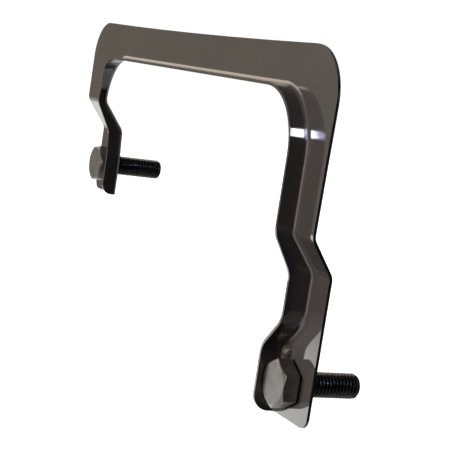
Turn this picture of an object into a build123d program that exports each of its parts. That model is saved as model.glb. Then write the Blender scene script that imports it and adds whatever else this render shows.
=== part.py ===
from build123d import *
import os
from math import atan2, cos, radians, tan

# Ladder stabilizer bracket: one U pressed from thin sheet steel, with a hex-head bolt through each foot.
# +X runs along the bar towards the long leg, +Y points the way the bolts leave the feet, +Z is up.
# The origin is the long leg's bolt axis where it leaves the foot's back (seating) face.

# ---- Driving dimensions, mm ----
# Sheet
sheet = 1.2  # thickness
bend_inside = 1.5  # inside radius of the flange's bend
joggle_inside = 4.7  # inside radius of the joggle's two bends

# Bolt positions
bolt_spacing = 225.0  # along the bar
short_bolt_rise = 55.4  # the short leg's bolt above the long leg's
long_foot_below_bolt = 13.6  # from the bolt axis down to the end of the foot
short_foot_below_bolt = 14.2

# Bar
bar_top = 128.6  # top corners of the outline
bar_underside = 110.4  # the flange's lower face
bar_waist = 1.2  # how far the top edge dips in the middle
long_outer_corner = 20.7
short_outer_corner = 17.5
long_inner_corner = 24.0
short_inner_corner = 22.5

# Long leg, X of its edges
long_outer_foot = 16.2
long_outer_leg = 17.9
long_outer_top = 19.5
long_outer_low = 42.0  # the outer edge steps out from the foot to the leg between these heights
long_outer_high = 60.0
long_inner_leg = 2.1
long_inner_foot = -10.5
long_flare_low = 12.5  # the inner edge flares to the foot between these heights
long_flare_high = 25.1
long_flare_radius = 9.0

# Short leg, X of its edges from its bolt axis
short_outer = -14.0
short_inner_leg = 13.1
short_inner_foot = 15.3
short_flare_low = 59.2
short_flare_high = 74.7
short_flare_radius = 40.0

# Joggle: a step that sets each foot back
joggle_depth = 10.9
joggle_rise = 13.9  # between its two bend lines
long_joggle_low = 44.5
short_joggle_low = 74.5

# Flange height above the plate's front face
flange_bar = 7.3
flange_long_leg = 7.4
flange_long_foot = 9.6
flange_short_leg = 4.0
flange_short_foot = 7.0
flange_sweep_radius = 9.0  # the free edge rounds over the joggle
flange_blend_radius = 1.0  # where the bar's flange height changes to the leg's
long_flange_leg_top = 90.0  # below here the long leg's flange has its own height
short_flange_leg_top = 95.0

# Foot details
foot_corner = 4.5  # outer lower corner of each foot
long_flange_corner = 7.0  # lower front corner of each flange
short_flange_corner = 5.0
nub_diameter = 6.0  # a solid dome beside the long leg's bolt head
nub_height = 2.6
nub_x = -5.4
nub_z = 11.4

# M10 hex-head bolts, threaded up to a short plain neck, and their thin washers
bolt_diameter = 10.0
bolt_length = 30.0
bolt_chamfer = 0.9
neck_diameter = 9.0
neck_length = 3.4  # under the head, where the thread ends
head_flats = 17.0
head_height = 6.4
head_chamfer_angle = 30  # of the crown's bevel
head_crown = 0.96  # the crown's flat circle against the head's width across flats
head_turns = {"long_leg": 90, "short_leg": 10}  # where one corner points, anticlockwise from +X
washer_outer = 15.0
washer_bore = 10.4
washer_thickness = 1.2
bolt_hole = 11.0

# ---- Worked out ----
short_x = -bolt_spacing
middle_x = short_x / 2
foot_bottom_long = -long_foot_below_bolt
foot_bottom_short = short_bolt_rise - short_foot_below_bolt
half_joggle_angle = atan2(joggle_depth, joggle_rise) / 2
reach = 40.0  # longer than anything that is cut back by a side profile
on_line = 0.02  # how near an edge's middle lies to a line it belongs to
short_outer_x = short_x + short_outer
short_foot_x = short_x + short_inner_foot
short_leg_x = short_x + short_inner_leg
bolt_sites = {"long_leg": (0, 0), "short_leg": (short_x, short_bolt_rise)}


def inner_edge():
    """Outer face of the flange, seen from the front: long foot, leg, bar, short leg, short foot."""
    return FilletPolyline(
        (long_inner_foot, foot_bottom_long),
        (long_inner_foot, long_flare_low),
        (long_inner_leg, long_flare_high),
        (long_inner_leg, bar_underside),
        (short_leg_x, bar_underside),
        (short_leg_x, short_flare_high),
        (short_foot_x, short_flare_low),
        (short_foot_x, foot_bottom_short),
        radius=[
            long_flare_radius,
            long_flare_radius,
            long_inner_corner,
            short_inner_corner,
            short_flare_radius,
            short_flare_radius,
        ],
    )


def back_face(foot_bottom, joggle_low):
    """The plate's back face from the side, as (Y, Z) points going up, with its two bend radii."""
    joggle_high = joggle_low + joggle_rise
    return FilletPolyline(
        (0, foot_bottom),
        (0, joggle_low),
        (-joggle_depth, joggle_high),
        (-joggle_depth, bar_top + reach),
        radius=[joggle_inside + sheet, joggle_inside],
    )


def flange_front(foot_bottom, joggle_low, foot_height, leg_height, leg_top):
    """The flange's free edge from the side, going down from above the bar."""
    # A full mitre of the bend would drop the edge's corners twice as far as they are.
    mitre = tan(half_joggle_angle) / 2
    lag_leg = (sheet + leg_height) * mitre
    lag_foot = (sheet + foot_height) * mitre
    joggle_high = joggle_low + joggle_rise
    front_bar = -joggle_depth - sheet - flange_bar
    front_leg = -joggle_depth - sheet - leg_height
    front_foot = -sheet - foot_height
    return FilletPolyline(
        (front_bar, bar_top + reach),
        (front_bar, bar_underside - bend_inside),
        (front_leg, leg_top),
        (front_leg, joggle_high - lag_leg),
        (front_foot, joggle_low - lag_foot),
        (front_foot, foot_bottom),
        radius=[flange_blend_radius, flange_blend_radius, flange_sweep_radius, flange_sweep_radius],
    )


# Side profiles, extruded across each half of the bracket. The plate's is the sheet itself; the flange's
# runs from the plate's back face forward to the flange's free edge.
with BuildPart() as plate_profile:
    for foot_bottom, joggle_low, direction in (
        (foot_bottom_long, long_joggle_low, 1),
        (foot_bottom_short, short_joggle_low, -1),
    ):
        with BuildSketch(Plane.YZ.offset(middle_x)):
            with BuildLine():
                back_face(foot_bottom, joggle_low)
                offset(amount=sheet, side=Side.LEFT)
            make_face()
        extrude(amount=direction * (bolt_spacing / 2 + reach))

with BuildPart() as flange_profile:
    long_heights = (flange_long_foot, flange_long_leg, long_flange_leg_top)
    short_heights = (flange_short_foot, flange_short_leg, short_flange_leg_top)
    for foot_bottom, joggle_low, heights, direction in (
        (foot_bottom_long, long_joggle_low, long_heights, 1),
        (foot_bottom_short, short_joggle_low, short_heights, -1),
    ):
        with BuildSketch(Plane.YZ.offset(middle_x)):
            with BuildLine():
                up = back_face(foot_bottom, joggle_low)
                down = flange_front(foot_bottom, joggle_low, *heights)
                Line(up @ 1, down @ 0)
                Line(down @ 1, up @ 0)
            make_face()
        extrude(amount=direction * (bolt_spacing / 2 + reach))

# The plate: the U's outline, pressed to the side profile.
with BuildPart() as plate:
    with BuildSketch(Plane.XZ) as outline:
        with BuildLine():
            inner = inner_edge()
            Line(inner @ 0, (long_outer_foot, foot_bottom_long))
            Polyline(
                (long_outer_foot, foot_bottom_long),
                (long_outer_foot, long_outer_low),
                (long_outer_leg, long_outer_high),
                (long_outer_top, bar_top),
            )
            ThreePointArc(
                (long_outer_top, bar_top),
                (middle_x, bar_top - bar_waist),
                (short_outer_x, bar_top),
            )
            Line((short_outer_x, bar_top), (short_outer_x, foot_bottom_short))
            Line((short_outer_x, foot_bottom_short), inner @ 1)
        make_face()
        top_corners = outline.vertices().filter_by(lambda v: v.Y > bar_top - sheet).sort_by(Axis.X)
        fillet(top_corners[-1], long_outer_corner)
        top_corners = outline.vertices().filter_by(lambda v: v.Y > bar_top - sheet).sort_by(Axis.X)
        fillet(top_corners[0], short_outer_corner)
    extrude(amount=reach, both=True)
    add(plate_profile.part, mode=Mode.INTERSECT)

with BuildPart() as flange:
    with BuildSketch(Plane.XZ):
        with BuildLine():
            inner_edge()
            offset(amount=sheet, side=Side.RIGHT)
        make_face()
    extrude(amount=reach, both=True)
    add(flange_profile.part, mode=Mode.INTERSECT)

# The lines, in the front view and from the side, that the edges of the flange's bend lie on.
with BuildLine(Plane.XZ) as bend_outside_plan:
    inner_edge()
with BuildLine(Plane.XZ) as bend_inside_plan:
    offset(bend_outside_plan.wires()[0], amount=sheet, side=Side.LEFT, closed=False)
side_lines = {}
for leg, foot_bottom, joggle_low in (
    ("long", foot_bottom_long, long_joggle_low),
    ("short", foot_bottom_short, short_joggle_low),
):
    with BuildLine(Plane.YZ) as back_line:
        back_face(foot_bottom, joggle_low)
    with BuildLine(Plane.YZ) as front_line:
        offset(back_line.wires()[0], amount=sheet, side=Side.RIGHT, closed=False)
    side_lines[leg] = {"back": back_line.wires()[0], "front": front_line.wires()[0]}


def bend_edges(part, plan, face):
    """Edges that lie on a plan line of the inner edge and on the plate's back or front face."""
    chosen = []
    for edge in part.edges():
        middle = edge @ 0.5
        leg = "long" if middle.X > middle_x else "short"
        from_plan = plan.distance_to(Vertex(middle.X, 0, middle.Z))
        from_face = side_lines[leg][face].distance_to(Vertex(0, middle.Y, middle.Z))
        if max(from_plan, from_face) < on_line:
            chosen.append(edge)
    return chosen


def near(x, z):
    """A test for short edges that stand at this place in the front view."""
    return lambda edge: abs(edge.center().X - x) < sheet and abs(edge.center().Z - z) < sheet


nub_plane = Plane(origin=(nub_x, -sheet, nub_z), x_dir=(1, 0, 0), z_dir=(0, 0, -1))

with BuildPart() as stabilizer_bracket:
    add(plate.part)
    add(flange.part)
    fillet(bend_edges(stabilizer_bracket, bend_outside_plan.wires()[0], "back"), bend_inside + sheet)
    fillet(bend_edges(stabilizer_bracket, bend_inside_plan.wires()[0], "front"), bend_inside)
    # Lower outer corner of each foot.
    for x, z in ((long_outer_foot, foot_bottom_long), (short_outer_x, foot_bottom_short)):
        through_plate = stabilizer_bracket.edges().filter_by(Axis.Y).filter_by(near(x, z))
        fillet(through_plate, foot_corner)
    # Lower front corner of each flange.
    for x, z, radius in (
        (long_inner_foot, foot_bottom_long, long_flange_corner),
        (short_foot_x, foot_bottom_short, short_flange_corner),
    ):
        through_flange = stabilizer_bracket.edges().filter_by(Axis.X).filter_by(near(x, z))
        fillet(through_flange.sort_by(Axis.Y)[0], radius)
    # Clearance holes for the bolts.
    with BuildSketch(Plane.XZ):
        with Locations(*bolt_sites.values()):
            Circle(bolt_hole / 2)
    extrude(amount=2 * sheet, both=True, mode=Mode.SUBTRACT)
    # The nub beside the long leg's bolt head. It starts half way into the sheet.
    with BuildSketch(nub_plane):
        with BuildLine():
            TangentArc((0, nub_height), (nub_diameter / 2, 0), tangent=(1, 0))
            Line((nub_diameter / 2, 0), (nub_diameter / 2, -sheet / 2))
            Line((nub_diameter / 2, -sheet / 2), (0, -sheet / 2))
            Line((0, -sheet / 2), (0, nub_height))
        make_face()
    revolve(axis=Axis((nub_x, 0, nub_z), (0, 1, 0)))


def hex_bolt(site, corner_angle):
    """A hex-head set screw along +Y, its head on the front face of its washer."""
    x, z = site
    under_head = Plane.XZ.offset(sheet + washer_thickness)
    corner_reach = head_flats / 2 / cos(radians(30))
    crown_radius = head_flats / 2 * head_crown
    crown_drop = (corner_reach - crown_radius) * tan(radians(head_chamfer_angle))
    profile_plane = Plane(origin=(x, under_head.origin.Y, z), x_dir=(1, 0, 0), z_dir=(0, 0, -1))
    with BuildPart() as bolt:
        with BuildSketch(under_head):
            with Locations((x, z)):
                RegularPolygon(head_flats / 2, 6, major_radius=False, rotation=corner_angle)
        extrude(amount=head_height)
        with BuildSketch(profile_plane):
            with BuildLine():
                Polyline(
                    (0, 0),
                    (corner_reach, 0),
                    (corner_reach, head_height - crown_drop),
                    (crown_radius, head_height),
                    (0, head_height),
                    close=True,
                )
            make_face()
        revolve(axis=Axis((x, 0, z), (0, 1, 0)), mode=Mode.INTERSECT)
        with BuildSketch(under_head):
            with Locations((x, z)):
                Circle(neck_diameter / 2)
        extrude(amount=-neck_length)
        with BuildSketch(under_head.offset(-neck_length)):
            with Locations((x, z)):
                Circle(bolt_diameter / 2)
        extrude(amount=neck_length - bolt_length)
        chamfer(bolt.edges().filter_by(GeomType.CIRCLE).sort_by(Axis.Y)[-1], bolt_chamfer)
    return bolt.part


def washer(site):
    """A thin washer between the bolt's head and the foot."""
    with BuildPart() as ring:
        with BuildSketch(Plane.XZ.offset(sheet)):
            with Locations(site):
                Circle(washer_outer / 2)
                Circle(washer_bore / 2, mode=Mode.SUBTRACT)
        extrude(amount=washer_thickness)
    return ring.part


pieces = {"stabilizer_bracket": stabilizer_bracket.part}
for leg, site in bolt_sites.items():
    pieces[f"{leg}_bolt"] = hex_bolt(site, head_turns[leg])
    pieces[f"{leg}_washer"] = washer(site)

os.makedirs("parts", exist_ok=True)
for name, piece in pieces.items():
    piece.label = name
    export_step(piece, f"parts/{name}.step")
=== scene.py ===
import math

import bmesh
import bpy
from mathutils import Matrix, Quaternion, Vector


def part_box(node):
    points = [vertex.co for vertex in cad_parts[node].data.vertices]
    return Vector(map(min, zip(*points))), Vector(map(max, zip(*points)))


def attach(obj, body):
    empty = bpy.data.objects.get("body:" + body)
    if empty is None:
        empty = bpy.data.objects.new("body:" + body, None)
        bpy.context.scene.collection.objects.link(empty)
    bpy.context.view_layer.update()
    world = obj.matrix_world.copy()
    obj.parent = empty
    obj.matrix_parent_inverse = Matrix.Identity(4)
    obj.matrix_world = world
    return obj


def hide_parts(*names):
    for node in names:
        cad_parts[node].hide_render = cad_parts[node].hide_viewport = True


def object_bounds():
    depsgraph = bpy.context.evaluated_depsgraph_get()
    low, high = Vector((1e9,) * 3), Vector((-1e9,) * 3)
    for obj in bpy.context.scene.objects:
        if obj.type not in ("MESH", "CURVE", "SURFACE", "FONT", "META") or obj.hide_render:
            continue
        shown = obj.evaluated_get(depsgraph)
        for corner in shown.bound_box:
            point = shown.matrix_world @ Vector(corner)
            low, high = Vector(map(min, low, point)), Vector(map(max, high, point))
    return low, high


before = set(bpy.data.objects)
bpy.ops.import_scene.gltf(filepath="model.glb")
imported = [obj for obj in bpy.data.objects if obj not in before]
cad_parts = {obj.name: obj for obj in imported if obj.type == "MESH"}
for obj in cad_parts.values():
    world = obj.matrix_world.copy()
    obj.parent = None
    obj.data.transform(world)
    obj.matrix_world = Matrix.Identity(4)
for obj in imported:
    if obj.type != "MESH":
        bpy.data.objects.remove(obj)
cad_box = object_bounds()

MM = 0.001
low, high = cad_box


# ---------------------------------------------------------------- camera
def make_camera():
    """The photograph's view: from the long leg's side, a little above, the picture tilted clockwise."""
    azimuth, elevation, roll = 63.69, 6.57, 8.86
    distance = 0.5656
    target = Vector((-0.07627, -0.0012, 0.04833))
    a, e = math.radians(azimuth), math.radians(elevation)
    back = Vector((math.sin(a) * math.cos(e), -math.cos(a) * math.cos(e), math.sin(e)))
    data = bpy.data.cameras.new("camera")
    data.sensor_width = 36.0
    data.lens = 105.8
    data.clip_start, data.clip_end = 0.01, 50.0
    camera = bpy.data.objects.new("camera", data)
    bpy.context.scene.collection.objects.link(camera)
    level = (-back).to_track_quat("-Z", "Y").to_matrix().to_4x4()
    camera.matrix_world = (
        Matrix.Translation(target + back * distance) @ level @ Matrix.Rotation(math.radians(roll), 4, "Z")
    )
    bpy.context.scene.camera = camera


# ---------------------------------------------------------------- node helpers
def new_material(name):
    material = bpy.data.materials.new(name)
    material.use_nodes = True
    tree = material.node_tree
    return material, tree, tree.nodes["Principled BSDF"]


def add(tree, kind, **inputs):
    """A node with some of its input sockets set by name."""
    node = tree.nodes.new(kind)
    for key, value in inputs.items():
        node.inputs[key.replace("_", " ")].default_value = value
    return node


def noise(tree, scale, detail=4.0, roughness=0.5, stretch=(1, 1, 1)):
    """Noise in the object's own coordinates; scale is in features per metre."""
    place = tree.nodes.new("ShaderNodeTexCoord")
    mapping = tree.nodes.new("ShaderNodeMapping")
    mapping.inputs["Scale"].default_value = stretch
    tree.links.new(place.outputs["Object"], mapping.inputs["Vector"])
    node = add(tree, "ShaderNodeTexNoise", Scale=scale, Detail=detail, Roughness=roughness)
    tree.links.new(mapping.outputs["Vector"], node.inputs["Vector"])
    return node.outputs["Fac"]


def ramp(tree, value, stops):
    """A colour ramp; stops are (position, grey or colour)."""
    node = tree.nodes.new("ShaderNodeValToRGB")
    elements = node.color_ramp.elements
    while len(elements) < len(stops):
        elements.new(0.5)
    for element, (position, colour) in zip(elements, stops):
        element.position = position
        rgb = (colour,) * 3 if isinstance(colour, (int, float)) else colour
        element.color = (*rgb, 1)
    tree.links.new(value, node.inputs["Fac"])
    return node.outputs["Color"]


def bump(tree, shader, layers):
    """Chained bumps; each layer is (height socket, strength, distance in metres)."""
    previous = None
    for height, strength, distance in layers:
        node = add(tree, "ShaderNodeBump", Strength=strength, Distance=distance)
        tree.links.new(height, node.inputs["Height"])
        if previous:
            tree.links.new(previous, node.inputs["Normal"])
        previous = node.outputs["Normal"]
    tree.links.new(previous, shader.inputs["Normal"])


# ---------------------------------------------------------------- materials
def dark_coating():
    """The pressed sheet's finish: a brown-black base with a strong sharp gloss, faintly wavy."""
    material, tree, shader = new_material("dark_coating")
    shader.inputs["IOR"].default_value = 2.0
    mottle = noise(tree, 28, 5, 0.6)
    tree.links.new(
        ramp(tree, mottle, [(0.3, (0.082, 0.068, 0.061)), (0.7, (0.100, 0.084, 0.076))]),
        shader.inputs["Base Color"],
    )
    tree.links.new(ramp(tree, noise(tree, 160, 5), [(0.25, 0.04), (0.8, 0.08)]), shader.inputs["Roughness"])
    bump(tree, shader, [(noise(tree, 22, 1.0), 0.20, 0.0003)])
    return material


def satin_steel():
    """The bolts' heads: dull plated steel with small pits and drag marks."""
    material, tree, shader = new_material("satin_steel")
    shader.inputs["Metallic"].default_value = 1.0
    tree.links.new(
        ramp(tree, noise(tree, 300, 6, 0.65), [(0.3, (0.20, 0.195, 0.187)), (0.7, (0.31, 0.305, 0.29))]),
        shader.inputs["Base Color"],
    )
    tree.links.new(ramp(tree, noise(tree, 600, 4), [(0.3, 0.30), (0.8, 0.48)]), shader.inputs["Roughness"])
    pits = noise(tree, 420, 4, 0.7)
    drags = noise(tree, 1500, 2, 0.5, (1, 1, 0.3))
    bump(tree, shader, [(pits, 0.35, 0.00012), (drags, 0.2, 0.00004)])
    return material


def oiled_thread():
    """The necks and threads: dark, oily steel."""
    material, tree, shader = new_material("oiled_thread")
    shader.inputs["Metallic"].default_value = 1.0
    tree.links.new(
        ramp(tree, noise(tree, 500, 4), [(0.3, (0.028, 0.028, 0.031)), (0.75, (0.085, 0.085, 0.09))]),
        shader.inputs["Base Color"],
    )
    tree.links.new(ramp(tree, noise(tree, 900, 3), [(0.3, 0.18), (0.8, 0.34)]), shader.inputs["Roughness"])
    bump(tree, shader, [(noise(tree, 1800, 3), 0.15, 0.00003)])
    return material


def black_moulding():
    """The washers: matte black."""
    material, tree, shader = new_material("black_moulding")
    tree.links.new(
        ramp(tree, noise(tree, 700, 4), [(0.3, (0.006, 0.006, 0.007)), (0.8, (0.016, 0.016, 0.017))]),
        shader.inputs["Base Color"],
    )
    tree.links.new(ramp(tree, noise(tree, 1200, 3), [(0.3, 0.50), (0.8, 0.70)]), shader.inputs["Roughness"])
    bump(tree, shader, [(noise(tree, 1600, 3), 0.2, 0.00003)])
    return material


# ---------------------------------------------------------------- bolts and washers
PITCH = 1.5 * MM
THREAD_DEPTH = 0.92 * MM
NECK = 3.4 * MM
NECK_RADIUS = 4.5 * MM
TIP_CHAMFER = 0.9 * MM
THREAD_RUN_OUT = 1.2 * PITCH
ROOT_SHARE = 0.22  # of the pitch, flat
FLANKS_SHARE = 0.62  # of the pitch, both flanks, which meet at about 54 degrees
FLATS = 17.0 * MM
HEAD_HEIGHT = 6.4 * MM
SHANK_RADIUS = 5.0 * MM
FLAT_INSET = 0.02 * MM  # keeps the head just inside its CAD solid
WASHER_BORE_RADIUS = 5.2 * MM
CROWN_RADIUS = FLATS / 2 * 0.96
CROWN_SLOPE = math.tan(math.radians(30))
ROUND_STEPS = 72
ROWS_PER_PITCH = 12


def mesh_object(name, build):
    mesh = bpy.data.meshes.new(name)
    bm = bmesh.new()
    build(bm)
    bmesh.ops.recalc_face_normals(bm, faces=bm.faces)
    bm.to_mesh(mesh)
    bm.free()
    obj = bpy.data.objects.new(name, mesh)
    bpy.context.scene.collection.objects.link(obj)
    return obj


def ring(bm, radius_at, y, axis_x, axis_z):
    """A ring of vertices round the axis, at y along it; radius_at(angle) gives the radius."""
    verts = []
    for i in range(ROUND_STEPS):
        angle = math.tau * i / ROUND_STEPS
        r = radius_at(angle)
        verts.append(bm.verts.new((axis_x + r * math.cos(angle), y, axis_z + r * math.sin(angle))))
    return verts


def skin(bm, first, second, slot, smooth=True):
    """Quads between two rings of the same count."""
    count = len(first)
    for i in range(count):
        j = (i + 1) % count
        face = bm.faces.new((first[i], first[j], second[j], second[i]))
        face.material_index = slot
        face.smooth = smooth


def cap(bm, loop, slot):
    """One face that closes a ring."""
    face = bm.faces.new(loop)
    face.material_index = slot


def thread_height(turns):
    """1 on a crest, 0 in a root; turns counts pitches along the thread."""
    part = turns % 1.0
    distance = min(part, 1.0 - part) * 2
    return min(1.0, max(0.0, (distance - ROOT_SHARE) / FLANKS_SHARE))


def bolt(node, corner_degrees):
    """A hex-head screw with a helical thread, in the CAD bolt's place.

    The helix runs left-handed, where a real M10 screw's is right-handed.
    """
    lowest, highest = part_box(node)
    axis_x, axis_z = (lowest.x + highest.x) / 2, (lowest.z + highest.z) / 2
    head_front, tip = lowest.y, highest.y
    under_head = head_front + HEAD_HEIGHT
    thread_start = under_head + NECK
    corner = math.radians(corner_degrees)

    def hex_radius(angle):
        off = (angle - corner - math.pi / 6) % (math.pi / 3)
        off = min(off, math.pi / 3 - off)
        return (FLATS / 2 - FLAT_INSET) / math.cos(off)

    def shank_radius(angle, y):
        crest = thread_height((y - thread_start) / PITCH - angle / math.tau)
        run_out = min(1.0, max(0.0, (y - thread_start) / THREAD_RUN_OUT))
        radius = SHANK_RADIUS - THREAD_DEPTH * (1 - crest)
        radius = NECK_RADIUS + (radius - NECK_RADIUS) * run_out
        return min(radius, SHANK_RADIUS - max(0.0, y - (tip - TIP_CHAMFER)))

    def build(bm):
        crown = ring(bm, lambda a: CROWN_RADIUS, head_front, axis_x, axis_z)
        cap(bm, crown, 0)
        edge = []
        for i in range(ROUND_STEPS):
            angle = math.tau * i / ROUND_STEPS
            r = hex_radius(angle)
            y = head_front + max(0.0, r - CROWN_RADIUS) * CROWN_SLOPE
            edge.append(bm.verts.new((axis_x + r * math.cos(angle), y, axis_z + r * math.sin(angle))))
        skin(bm, crown, edge, 0)
        foot = ring(bm, hex_radius, under_head, axis_x, axis_z)
        skin(bm, edge, foot, 0, smooth=False)
        previous = ring(bm, lambda a: NECK_RADIUS, under_head, axis_x, axis_z)
        skin(bm, foot, previous, 0)
        rows = int((tip - thread_start) / PITCH * ROWS_PER_PITCH)
        for row in range(rows + 1):
            y = thread_start + (tip - thread_start) * row / rows
            current = ring(bm, lambda a: shank_radius(a, y), y, axis_x, axis_z)
            skin(bm, previous, current, 1)
            previous = current
        cap(bm, previous, 1)

    obj = mesh_object(node + "_detail", build)
    obj.data.materials.append(satin_steel_material)
    obj.data.materials.append(thread_material)
    soften = obj.modifiers.new("edges", "BEVEL")
    soften.limit_method = "ANGLE"
    soften.angle_limit = math.radians(24)
    soften.width = 0.16 * MM
    soften.segments = 2
    soften.use_clamp_overlap = True
    return obj


def washer(node):
    """A thin ring with rounded edges, in the CAD washer's place."""
    lowest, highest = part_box(node)
    axis_x, axis_z = (lowest.x + highest.x) / 2, (lowest.z + highest.z) / 2
    outer, inner = (highest.x - lowest.x) / 2, WASHER_BORE_RADIUS
    rounding = 0.22 * MM
    section = []
    for centre_r, centre_y, start in (
        (outer - rounding, highest.y - rounding, 0),
        (inner + rounding, highest.y - rounding, 90),
        (inner + rounding, lowest.y + rounding, 180),
        (outer - rounding, lowest.y + rounding, 270),
    ):
        for step in range(5):  # a quarter turn in four steps
            angle = math.radians(start + 22.5 * step)
            section.append((centre_r + rounding * math.cos(angle), centre_y + rounding * math.sin(angle)))

    def build(bm):
        loops = [ring(bm, lambda a, r=r: r, y, axis_x, axis_z) for r, y in section]
        for first, second in zip(loops, loops[1:] + loops[:1]):
            skin(bm, first, second, 0)

    obj = mesh_object(node + "_detail", build)
    obj.data.materials.append(washer_material)
    return obj


# ---------------------------------------------------------------- stage
def make_floor():
    """A white plane just under the lowest foot, which the bracket does not mirror."""
    size = 6.0
    gap = 0.5 * MM

    def build(bm):
        corners = [(-size, -size), (size, -size), (size, size), (-size, size)]
        bm.faces.new([bm.verts.new((x, y, low.z - gap)) for x, y in corners])

    floor = mesh_object("floor", build)
    material, tree, shader = new_material("floor_white")
    tree.links.new(ramp(tree, noise(tree, 3, 2), [(0.3, 0.90), (0.7, 0.92)]), shader.inputs["Base Color"])
    shader.inputs["Roughness"].default_value = 0.9
    shader.inputs["Emission Color"].default_value = (1, 1, 1, 1)
    shader.inputs["Emission Strength"].default_value = 1.0
    floor.data.materials.append(material)
    floor.visible_glossy = False
    floor.visible_diffuse = False


def towards(azimuth, elevation):
    """A unit vector; azimuth 0 is +X and 90 is +Y."""
    a, e = math.radians(azimuth), math.radians(elevation)
    return math.cos(a) * math.cos(e), math.sin(a) * math.cos(e), math.sin(e)


# Soft patches of the room that the coating mirrors: azimuth, elevation, inner and outer radius in
# degrees, colour. A later patch lies over the earlier ones.
ROOM_PATCHES = (
    (25, 0, 32, 62, (0.006, 0.006, 0.008)),  # unlit side of the room, behind the long leg
    (31, -4, 3, 9, (0.010, 0.014, 0.034)),  # faint blue window in it
    (34, 14, 5, 13, (0.09, 0.08, 0.065)),  # dim warm wall above it
    (-72, 4, 10, 26, (0.70, 0.52, 0.48)),  # warm wall beside the camera
    (-30, 6, 14, 28, (0.006, 0.006, 0.012)),  # the dark round the camera
    (-172, 18, 12, 24, (0.85, 0.74, 0.60)),  # warm ceiling light far left
    (-150, 15, 8, 16, (1.15, 1.00, 0.82)),
    (178, -34, 12, 24, (0.95, 0.95, 0.92)),  # lit floor at the left
    (-155, -18, 5, 12, (1.10, 1.12, 1.08)),
    (-158, -2, 7, 13, (0.12, 0.11, 0.085)),  # brown wall that the plate mirrors
    (-95, -62, 22, 40, (0.36, 0.36, 0.34)),
    (35, -62, 18, 34, (0.22, 0.235, 0.235)),
    (-34, 31, 1, 7, (0.15, 0.25, 2.6)),  # blue halo round the strip lamp
)


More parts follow.
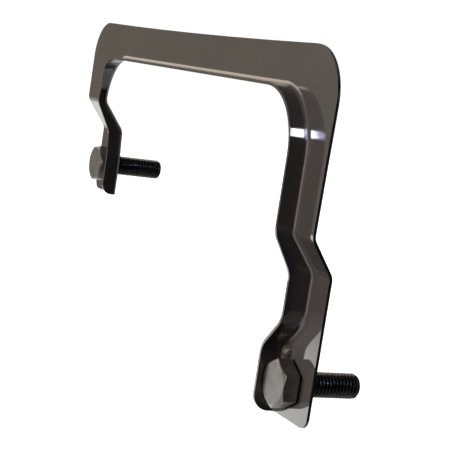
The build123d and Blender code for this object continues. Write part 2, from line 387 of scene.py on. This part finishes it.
def make_world():
    """Reflections see a dim brown room over a paler floor; the background itself is white.

    It gives no diffuse light: the soft boxes do that.
    """
    world = bpy.data.worlds.new("room")
    bpy.context.scene.world = world
    world.use_nodes = True
    world.cycles_visibility.diffuse = False
    tree = world.node_tree
    tree.nodes.clear()
    place = tree.nodes.new("ShaderNodeTexCoord")
    split = tree.nodes.new("ShaderNodeSeparateXYZ")
    tree.links.new(place.outputs["Generated"], split.inputs[0])
    rise = add(tree, "ShaderNodeMapRange")
    rise.inputs["From Min"].default_value = -1.0
    rise.inputs["From Max"].default_value = 1.0
    tree.links.new(split.outputs["Z"], rise.inputs["Value"])
    colour = ramp(
        tree,
        rise.outputs["Result"],
        [
            (0.0, (0.32, 0.32, 0.31)),
            (0.20, (0.30, 0.30, 0.29)),
            (0.40, (0.26, 0.25, 0.23)),
            (0.50, (0.19, 0.165, 0.14)),
            (0.72, (0.24, 0.21, 0.18)),
            (0.90, (0.09, 0.085, 0.10)),
        ],
    )
    for azimuth, elevation, inner, outer, tint in ROOM_PATCHES:
        facing = tree.nodes.new("ShaderNodeVectorMath")
        facing.operation = "DOT_PRODUCT"
        tree.links.new(place.outputs["Generated"], facing.inputs[0])
        facing.inputs[1].default_value = towards(azimuth, elevation)
        soft = tree.nodes.new("ShaderNodeMapRange")
        soft.interpolation_type = "SMOOTHSTEP"
        soft.inputs["From Min"].default_value = math.cos(math.radians(outer))
        soft.inputs["From Max"].default_value = math.cos(math.radians(inner))
        tree.links.new(facing.outputs["Value"], soft.inputs["Value"])
        blend = tree.nodes.new("ShaderNodeMix")
        blend.data_type = "RGBA"
        tree.links.new(soft.outputs["Result"], blend.inputs["Factor"])
        # the colour sockets of a Mix node share their names with its other types
        a_socket = [i for i in blend.inputs if i.name == "A" and i.type == "RGBA"][0]
        b_socket = [i for i in blend.inputs if i.name == "B" and i.type == "RGBA"][0]
        tree.links.new(colour, a_socket)
        b_socket.default_value = (*tint, 1)
        colour = [o for o in blend.outputs if o.type == "RGBA"][0]
    path = tree.nodes.new("ShaderNodeLightPath")
    seen = add(tree, "ShaderNodeBackground", Strength=2.0)
    tree.links.new(colour, seen.inputs["Color"])
    clean = add(tree, "ShaderNodeBackground", Color=(1, 1, 1, 1), Strength=1.05)
    mix = tree.nodes.new("ShaderNodeMixShader")
    tree.links.new(path.outputs["Is Camera Ray"], mix.inputs[0])
    tree.links.new(seen.outputs[0], mix.inputs[1])
    tree.links.new(clean.outputs[0], mix.inputs[2])
    out = tree.nodes.new("ShaderNodeOutputWorld")
    tree.links.new(mix.outputs[0], out.inputs["Surface"])


def softbox(name, place, aim, size, power, colour=(1, 1, 1), glossy=True, diffuse=True, turn=0):
    """A rectangular lamp facing aim; turn rolls it about that line, in degrees."""
    data = bpy.data.lights.new(name, "AREA")
    data.shape = "RECTANGLE"
    data.size, data.size_y = size
    data.energy = power
    data.color = colour
    lamp = bpy.data.objects.new(name, data)
    lamp.location = place
    lamp.rotation_mode = "QUATERNION"
    aimed = (Vector(aim) - Vector(place)).to_track_quat("-Z", "Y")
    lamp.rotation_quaternion = aimed @ Quaternion((0, 0, 1), math.radians(turn))
    lamp.visible_camera = False
    lamp.visible_glossy = glossy
    lamp.visible_diffuse = diffuse
    bpy.context.scene.collection.objects.link(lamp)


bpy.context.scene.view_settings.view_transform = "Standard"
make_camera()
make_world()
make_floor()
middle = (low + high) / 2
softbox("overhead", (middle.x, middle.y, 1.6), middle, (2.4, 2.4), 2, glossy=False)
softbox("back", (middle.x - 0.5, middle.y + 2.0, middle.z + 0.6), middle, (0.5, 0.5), 34, glossy=False)
softbox("front", (middle.x, middle.y - 2.0, middle.z), middle, (1.2, 1.2), 58, glossy=False)
# A thin lamp 2 m off, which the long leg mirrors high up.
spot = Vector((0.0018, -0.0166, 0.0949))
softbox(
    "strip",
    spot + 2 * Vector(towards(-34.5, 31.9)),
    spot,
    (0.023, 0.43),
    16,
    (0.78, 0.84, 1.0),
    diffuse=False,
    turn=20,
)

satin_steel_material = satin_steel()
thread_material = oiled_thread()
washer_material = black_moulding()

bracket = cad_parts["stabilizer_bracket"]
coating = dark_coating()
for slot in bracket.material_slots:
    slot.material = coating

for leg, body, corner_degrees in (("long_leg", "long", 90), ("short_leg", "short", 10)):
    screw = bolt(leg + "_bolt", corner_degrees)
    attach(screw, body + "_bolt")
    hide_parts(leg + "_bolt")
    ring_piece = washer(leg + "_washer")
    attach(ring_piece, body + "_washer")
    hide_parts(leg + "_washer")
